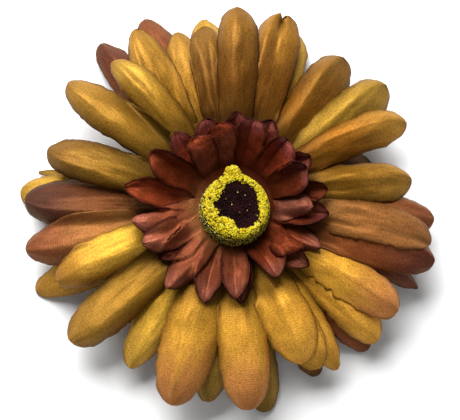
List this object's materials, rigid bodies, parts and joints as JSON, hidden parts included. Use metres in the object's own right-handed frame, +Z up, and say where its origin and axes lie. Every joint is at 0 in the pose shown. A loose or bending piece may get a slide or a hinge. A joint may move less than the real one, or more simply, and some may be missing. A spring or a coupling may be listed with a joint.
{
  "type": "flower hair clip",
  "caption": "Fabric gerbera flower with layered satin petals round a pollen-rimmed button, on a sprung metal alligator clip for hair.",
  "frame": {"origin": "on the table under the middle of the bounding box, with the flower lying face up on the tips of its back petals", "axes": "+Z up along the flower's axis, out of its face; +X along the clip from its jaws' tip to its finger lever; +Y across the clip"},
  "size_m": [0.102, 0.102, 0.0234],
  "materials": {
    "flock": "flocked, matte",
    "pollen": "granular",
    "stem_plastic": "moulded",
    "satin_maroon": "satin",
    "satin_gold": "satin",
    "satin_ochre": "satin",
    "satin_rust": "satin",
    "hot_glue": "waxy",
    "felt": "felt",
    "clip_steel": "plated",
    "spring_steel": "drawn wire"
  },
  "bodies": {
    "flower": {"centre_button": "flock", "pollen_crust": "pollen", "centre_peg": "stem_plastic", "small_petals_front": "satin_maroon", "small_petals_back": "satin_maroon", "petal_spacer": "stem_plastic", "large_petals_front": "satin_gold", "large_petals_middle": "satin_ochre", "large_petals_back": "satin_rust", "back_collar": "stem_plastic", "glue_pad": "hot_glue", "felt_disc": "felt", "felt_strap": "felt", "clip_plate": "clip_steel", "pivot_pin": "clip_steel", "torsion_spring": "spring_steel"},
    "jaw": {"clip_jaw": "clip_steel"}
  },
  "joints": [
    {"name": "jaw_open", "type": "hinge", "parent": "flower", "child": "jaw", "pos_m": [0.006, 0, 0.0056], "axis": [0, -1, 0], "range_deg": [0, 23], "stiffness_Nm_per_rad": 0.16, "springref_deg": -42.97, "deforming": ["torsion_spring"]}
  ]
}
